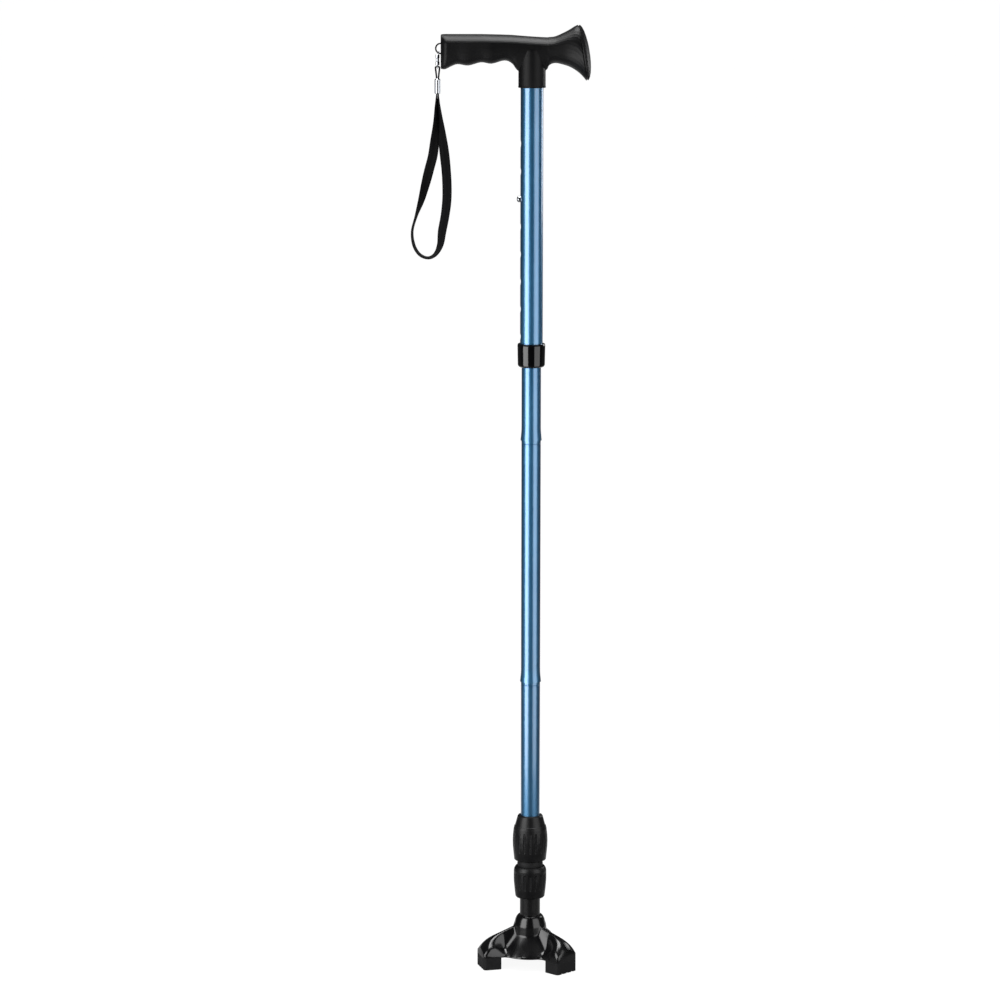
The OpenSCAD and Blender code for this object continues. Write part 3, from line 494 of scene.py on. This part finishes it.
def swept(name, centre, wide, thick, section, along, round_mm, finish):
    """A closed section carried along a path, with flat ends.

    Point (i, j) is centre i, plus section j's first size along wide i and its second along thick i. The UV
    map holds millimetres along the path and round the section.
    """
    rings, sides = len(centre), section.shape[-2]
    points = centre[:, None] + section[..., :1] * wide[:, None] + section[..., 1:] * thick[:, None]
    first = np.arange(sides)[::-1].tolist()
    last = ((rings - 1) * sides + np.arange(sides)).tolist()
    faces = ring_quads(rings, sides, closed=False) + [first, last]
    mesh = smooth_mesh(name, points, faces, finish)
    i, j = np.meshgrid(np.arange(rings - 1), np.arange(sides), indexing="ij")
    u = np.stack([along[i], along[i], along[i + 1], along[i + 1]], axis=-1)
    v = np.stack([j, j + 1, j + 1, j], axis=-1) * (round_mm / sides)
    grid = np.stack([u, v], axis=-1).reshape(-1, 2)
    caps = np.zeros((2 * sides, 2))
    layer = mesh.uv_layers.new(name="yarn")
    layer.data.foreach_set("uv", np.concatenate([grid, caps]).ravel())
    mesh.validate()
    piece = in_scene(name, mesh)
    return piece


def hung_frame(rows):
    """Directions of a band that hangs in the XZ plane, across its width and through its thickness.

    Out is square to the path in that plane, and the band turns from Y towards out by the row's third value.
    """
    way = np.gradient(rows[:, :2] * [1, -1], axis=0)
    way /= np.linalg.norm(way, axis=1, keepdims=True)
    zero = np.zeros(len(rows))
    out = np.stack([-way[:, 1], zero, way[:, 0]], axis=1)
    across = np.stack([zero, zero + 1, zero], axis=1)
    turn = np.radians(rows[:, 2:3])
    return np.cos(turn) * across + np.sin(turn) * out, np.cos(turn) * out - np.sin(turn) * across


# Route of the webbing in millimetres: offset from the crimp, drop below it, turn of the band in degrees
WEB_ROUTE = [
    [-0.7, 0, 0], [-1.3, 12, 18], [-1.7, 29.8, 33], [-2.8, 44.8, 60], [-4.6, 59.6, 86],
    [-8.4, 74.4, 84], [-12.2, 89.4, 60], [-16.1, 104.2, 38], [-21.0, 119.2, 14], [-24.9, 134.1, 10],
    [-23.4, 147.4, 12], [-17.9, 156.7, 10], [-9.7, 160.2, 8], [-2.4, 156.7, 18], [2.4, 147.4, 38],
    [4.3, 134.1, 58], [7.1, 119.2, 62], [8.9, 104.2, 70], [9.1, 89.4, 74], [8.3, 74.4, 74],
    [6.8, 59.6, 84], [5.0, 44.8, 60], [3.5, 29.8, 33], [1.4, 12, 18], [0.7, 0, 0],
]
WEB_WIDTH = 9.4
WEB_THICK = 1.3
WEB_RIBS = 9
# Share of the thickness that a rib's valley takes away, and the power that squares the section off
WEB_RIB_DEPTH = 0.14
WEB_SQUARE = 0.35
# Share of the width that is left where the crimp gathers it, and the drop at which it is full again
WEB_GATHERED = 0.55
WEB_SPREAD = 30
# Points of its mesh along the webbing and round it
WEB_STEPS = 420
WEB_SIDES = 96


def webbing():
    """The wrist strap: a band of ribbed webbing along its route, gathered where the crimp holds it.

    Its section is a circle whose cosine and sine are taken to a small power, which makes it a flat band with
    rolled edges, and its thickness has a cosine wave for each warp yarn.
    """
    crimp_low, crimp_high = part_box("strap_crimp")
    rows, along = smooth_rows(WEB_ROUTE, WEB_STEPS)
    wide, thick = hung_frame(rows)
    gather = WEB_GATHERED + (1 - WEB_GATHERED) * np.clip(rows[:, 1] / WEB_SPREAD, 0, 1)
    angle = 2 * np.pi * np.arange(WEB_SIDES) / WEB_SIDES
    across = np.sign(np.cos(angle)) * np.abs(np.cos(angle)) ** WEB_SQUARE
    face = np.sign(np.sin(angle)) * np.abs(np.sin(angle)) ** WEB_SQUARE
    rib = 1 - WEB_RIB_DEPTH * (0.5 + 0.5 * np.cos(np.pi * WEB_RIBS * across))
    half = np.stack([across * WEB_WIDTH / 2, face * rib * WEB_THICK / 2], axis=1)
    section = np.repeat(half[None], len(rows), axis=0)
    section[..., 0] *= gather[:, None]
    middle = (crimp_low + crimp_high) / 2
    centre = np.stack([middle[0] + rows[:, 0] * MM, 0 * along, crimp_low[2] - rows[:, 1] * MM], axis=1)
    round_mm = 2 * WEB_WIDTH
    piece = swept("wrist_strap_webbing", centre, wide, thick, section * MM, along, round_mm, "black_webbing")
    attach(piece, "strap")
    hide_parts("wrist_strap")


# Lobes of a cord's braid, and the share of its radius by which each rises and falls
CORD_LOBES = 8
CORD_SWELL = 0.02


def cord_section(diameter, sides):
    """A round section with the soft lobes of its braid: the radius follows a cosine a few times round."""
    angle = 2 * np.pi * np.arange(sides) / sides
    radius = diameter / 2 * (1 - CORD_SWELL + CORD_SWELL * np.cos(CORD_LOBES * angle))
    return np.stack([radius * np.cos(angle), radius * np.sin(angle)], axis=1)


# Cord loop in millimetres: its top above the crimp, half its width, bend of its shoulders, spread below
LOOP_LEN = 11.6
LOOP_REACH = 2.0
LOOP_BEND = 1.0
LOOP_FOOT = 0.8
LOOP_DIAMETER = 1.6
# Points of its mesh along the loop and round it
LOOP_STEPS = 160
LOOP_SIDES = 24


def cord_loop():
    """The thin cord between link and crimp: up one side, through the ring and down the other side.

    Its two shoulders are quarter circles, and straight lines join them to each other and to the crimp.
    """
    crimp_low, crimp_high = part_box("strap_crimp")
    middle = (crimp_low + crimp_high) / 2
    turn = np.radians(np.linspace(90, 0, 9))
    shoulder = np.stack([
        LOOP_REACH - LOOP_BEND + LOOP_BEND * np.cos(turn), LOOP_BEND - LOOP_BEND * np.sin(turn), 0 * turn,
    ], axis=1)
    right = np.concatenate([shoulder, [[LOOP_FOOT, LOOP_LEN, 0]]])
    left = right[::-1] * [-1, 1, 1]
    rows, along = even_rows(np.concatenate([left, right]), LOOP_STEPS)
    wide, thick = hung_frame(rows)
    section = np.repeat(cord_section(LOOP_DIAMETER, LOOP_SIDES)[None], len(rows), axis=0)
    top = crimp_high[2] + LOOP_LEN * MM
    centre = np.stack([middle[0] + rows[:, 0] * MM, 0 * along, top - rows[:, 1] * MM], axis=1)
    round_mm = math.pi * LOOP_DIAMETER
    piece = swept("strap_cord_braid", centre, wide, thick, section * MM, along, round_mm, "elastic_cord")
    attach(piece, "strap")
    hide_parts("strap_cord_loop")


# Elastic cord in millimetres: its diameter, and how far to each side of a fold it bends
ELASTIC_DIAMETER = 4.0
CORD_BEND = 20.0
# Points of its mesh along each length and round it
ELASTIC_STEPS = 260
ELASTIC_SIDES = 32


def elastic_cord(name, low, high, start, end, first, second, *nodes):
    """A straight length of elastic cord through one fold."""
    along = np.linspace(0, (high - low) / MM, ELASTIC_STEPS)
    zero = 0 * along
    centre = np.stack([zero, zero, low + along * MM], axis=1)
    wide = np.stack([zero + 1, zero, zero], axis=1)
    thick = np.stack([zero, zero + 1, zero], axis=1)
    section = np.repeat(cord_section(ELASTIC_DIAMETER, ELASTIC_SIDES)[None], len(along), axis=0)
    round_mm = math.pi * ELASTIC_DIAMETER
    piece = swept(name, centre, wide, thick, section * MM, along, round_mm, "elastic_cord")
    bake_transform(piece)
    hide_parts(*nodes)


def elastic_cords():
    """Two lengths of elastic cord that meet in the middle tube, where they can't be seen."""
    joints = frame["record"]["behaviour"]["joints"]
    pivots = {joint["name"]: joint["pos_m"][2] for joint in joints if "pos_m" in joint}
    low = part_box("shock_cord_lower")[0][2]
    half = float(np.mean([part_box("shock_cord_middle")[k][2] for k in (0, 1)]))
    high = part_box("shock_cord_upper")[1][2]
    bend = CORD_BEND * MM
    # The lower cord is named from its moving end
    elastic_cord(
        "elastic_cord_low", low, half, pivots["fold_lower"] + bend, pivots["fold_lower"] - bend,
        "lower_link", "lower_section", "shock_cord_lower", "shock_cord_low_bend",
    )
    elastic_cord(
        "elastic_cord_high", half, high, pivots["fold_upper"] - bend, pivots["fold_upper"] + bend,
        "upper_link", "inner_section", "shock_cord_middle", "shock_cord_high_bend", "shock_cord_upper",
    )


# Studio


# Camera in metres from the foot's middle, degrees that it looks down and leans, lens in millimetres
CAMERA_ASIDE = -0.0306
CAMERA_AWAY = 4.0
CAMERA_UP = 1.10785
LOOK_DOWN = 9.034
CAMERA_LEAN = 0.076
LENS_LENGTH = 147.6
SENSOR_WIDTH = 36


def camera():
    """The photograph's view: from the front and a little above, through a long lens, a hair off level."""
    data = bpy.data.cameras.new("camera")
    data.sensor_width = SENSOR_WIDTH
    data.lens = LENS_LENGTH
    data.clip_end = 200
    eye = in_scene("camera", data)
    eye.location = (CAMERA_ASIDE, -CAMERA_AWAY, CAMERA_UP)
    eye.rotation_mode = "ZXY"
    eye.rotation_euler = (math.radians(90 - LOOK_DOWN), 0, math.radians(CAMERA_LEAN))
    bpy.context.scene.camera = eye


def softbox(name, spot, target, width, height, watts):
    """A large rectangular lamp that faces its target."""
    data = bpy.data.lights.new(name, "AREA")
    data.shape = "RECTANGLE"
    data.size = width
    data.size_y = height
    data.energy = watts
    lamp = in_scene(name, data)
    lamp.location = spot
    way = np.subtract(target, spot)
    tip = math.atan2(math.hypot(way[0], way[1]), -way[2])
    turn = math.atan2(way[1], way[0]) - math.pi / 2
    lamp.rotation_euler = (tip, 0, turn)


# Floor in metres from the foot's middle: its edges, where gloss starts to see it and sees it in full, and
# where it turns from less white to white
FLOOR_REACH = 60.0
GLOSS_FROM = -0.15
GLOSS_FULL = 0.6
WHITE_FROM = 0.3
WHITE_FULL = 3.0
# Levels of the less white floor to the eye and of the floor beyond the edges to gloss, and the paper's grey
NEAR_WHITE = 0.93
BEYOND_EDGE = 0.06
PAPER_GREY = 0.08
# Aside divided by away from the camera, at the picture's edge and where the floor has faded beyond it
EDGE_SLANT = 0.09
FADED_SLANT = 0.13


def floor_paper():
    """White paper: the eye sees it white all round, a little less under the cane, where it keeps the shadow.

    Gloss sees the stretch of it that the camera sees behind the cane, and little of it beyond the picture's
    edges.
    """
    material, tree, output = blank_material("studio_floor")
    path = add(tree, "ShaderNodeLightPath").outputs
    place = add(tree, "ShaderNodeTexCoord").outputs["Object"]
    spot = add(tree, "ShaderNodeSeparateXYZ", {"Vector": place}).outputs
    aside = add(tree, "ShaderNodeMath", {0: spot["X"]}, operation="ABSOLUTE").outputs["Value"]
    away = add(tree, "ShaderNodeMath", {0: spot["Y"], 1: CAMERA_AWAY}, operation="ADD").outputs["Value"]
    slant = add(tree, "ShaderNodeMath", {0: aside, 1: away}, operation="DIVIDE").outputs["Value"]
    in_view = add(tree, "ShaderNodeMapRange", {
        "Value": slant, "From Min": EDGE_SLANT, "From Max": FADED_SLANT, "To Min": 1.0, "To Max": BEYOND_EDGE,
    }).outputs["Result"]
    behind = add(tree, "ShaderNodeMapRange", {
        "Value": spot["Y"], "From Min": GLOSS_FROM, "From Max": GLOSS_FULL,
    }).outputs["Result"]
    paper = add(tree, "ShaderNodeMath", {0: in_view, 1: behind}, operation="MULTIPLY").outputs["Value"]
    mirrored = add(tree, "ShaderNodeMath", {
        0: path["Is Glossy Ray"], 1: path["Is Transmission Ray"],
    }, operation="MAXIMUM").outputs["Value"]
    in_gloss = add(tree, "ShaderNodeMath", {0: paper, 1: mirrored}, operation="MULTIPLY").outputs["Value"]
    white = add(tree, "ShaderNodeMapRange", {
        "Value": spot["Y"],
        "From Min": WHITE_FROM,
        "From Max": WHITE_FULL,
        "To Min": NEAR_WHITE,
        "To Max": 1.0,
    }).outputs["Result"]
    to_eye = add(tree, "ShaderNodeMath", {
        0: white, 1: path["Is Camera Ray"],
    }, operation="MULTIPLY").outputs["Value"]
    glow = add(tree, "ShaderNodeMath", {0: to_eye, 1: in_gloss}, operation="MAXIMUM").outputs["Value"]
    shader = add(tree, "ShaderNodeBsdfPrincipled", {
        "Base Color": (PAPER_GREY, PAPER_GREY, PAPER_GREY, 1),
        "Roughness": 0.9,
        "Specular IOR Level": 0.0,
        "Emission Color": (1, 1, 1, 1),
        "Emission Strength": glow,
    })
    tree.links.new(shader.outputs["BSDF"], output.inputs["Surface"])
    return material


def studio_floor():
    """One square of paper, far wider than the view."""
    mesh = bpy.data.meshes.new("studio_floor")
    reach = FLOOR_REACH
    corners = [(-reach, -reach, 0), (reach, -reach, 0), (reach, reach, 0), (-reach, reach, 0)]
    mesh.from_pydata(corners, [], [(0, 1, 2, 3)])
    mesh.materials.append(floor_paper())
    floor = in_scene("studio_floor", mesh)


def room():
    """A room that is white to the eye and dim to everything else."""
    dim = 0.05
    world = bpy.data.worlds.new("studio")
    world.use_nodes = True
    bpy.context.scene.world = world
    tree = world.node_tree
    tree.nodes.clear()
    seen = add(tree, "ShaderNodeLightPath").outputs["Is Camera Ray"]
    level = add(tree, "ShaderNodeMapRange", {"Value": seen, "To Min": dim, "To Max": 1.0}).outputs["Result"]
    sky = add(tree, "ShaderNodeBackground", {"Color": (1, 1, 1, 1), "Strength": level})
    end = add(tree, "ShaderNodeOutputWorld")
    tree.links.new(sky.outputs["Background"], end.inputs["Surface"])


def studio():
    """Floor, room and four softboxes.

    A bright softbox stands close by at the left and a wider, weaker one at the right, from the floor up, so
    that the tube mirrors both over its whole length. A large one hangs above, and a small one lights the palm
    rest from behind.
    """
    studio_floor()
    room()
    stand = 0.8
    turn = math.radians(50)
    across = stand * math.sin(turn)
    front = -stand * math.cos(turn)
    middle = (0, 0, 0.47)
    softbox("softbox_left", (-across, front, middle[2]), middle, width=0.62, height=0.92, watts=9.8)
    softbox("softbox_right", (across, front, middle[2]), middle, width=0.72, height=0.92, watts=5.1)
    softbox("softbox_top", (0, 0.15, 2.4), (0, 0.1, 0.9), width=1.6, height=1.3, watts=68)
    softbox("softbox_back", (1.15, 0.96, 0.84), (0, 0, 0.9), width=0.6, height=0.45, watts=3.2)
    bpy.context.scene.view_settings.view_transform = "Standard"


camera()
dress_nodes()
tripod_shell()
webbing()
cord_loop()
elastic_cords()
studio()
